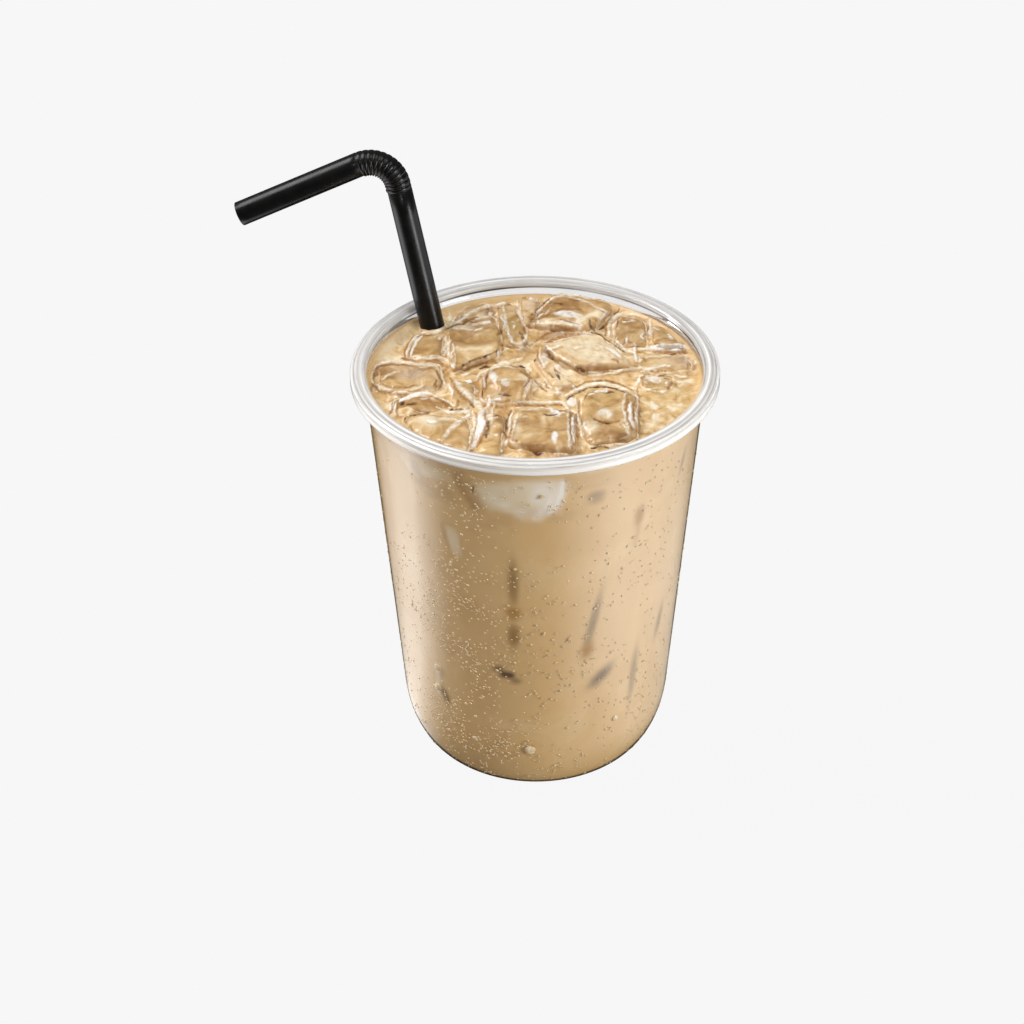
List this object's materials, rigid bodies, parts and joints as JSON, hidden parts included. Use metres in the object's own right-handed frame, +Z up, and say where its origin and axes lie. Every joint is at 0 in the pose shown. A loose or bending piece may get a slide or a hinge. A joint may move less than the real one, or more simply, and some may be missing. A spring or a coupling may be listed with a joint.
{
  "type": "iced coffee",
  "caption": "Iced milk coffee in a clear tapered takeaway cup with a rounded lower edge, filled almost to the rim, with floating ice cubes and a bendy straw.",
  "frame": {"origin": "centre of the cup's flat base, where it stands", "axes": "+Z up along the cup's axis; the straw's short arm points to -X, and the straw stands at the cup's far left, towards -X and +Y"},
  "size_m": [0.1257, 0.095, 0.1573],
  "materials": {
    "clear_plastic": "clear glossy moulded plastic",
    "coffee": "opaque milk coffee with a wet, glossy surface",
    "ice": "clear wet ice with a few cloudy veils",
    "straw_plastic": "black semi-gloss extruded plastic"
  },
  "bodies": {
    "root": {"cup": "clear_plastic", "coffee": "coffee", "straw": "straw_plastic", "ice_01": "ice", "ice_02": "ice", "ice_03": "ice", "ice_04": "ice", "ice_05": "ice", "ice_06": "ice", "ice_07": "ice", "ice_08": "ice", "ice_09": "ice", "ice_10": "ice", "ice_11": "ice", "ice_12": "ice", "ice_13": "ice", "ice_14": "ice", "ice_15": "ice", "ice_16": "ice", "ice_17": "ice", "ice_18": "ice", "ice_19": "ice", "ice_20": "ice"}
  },
  "joints": []
}
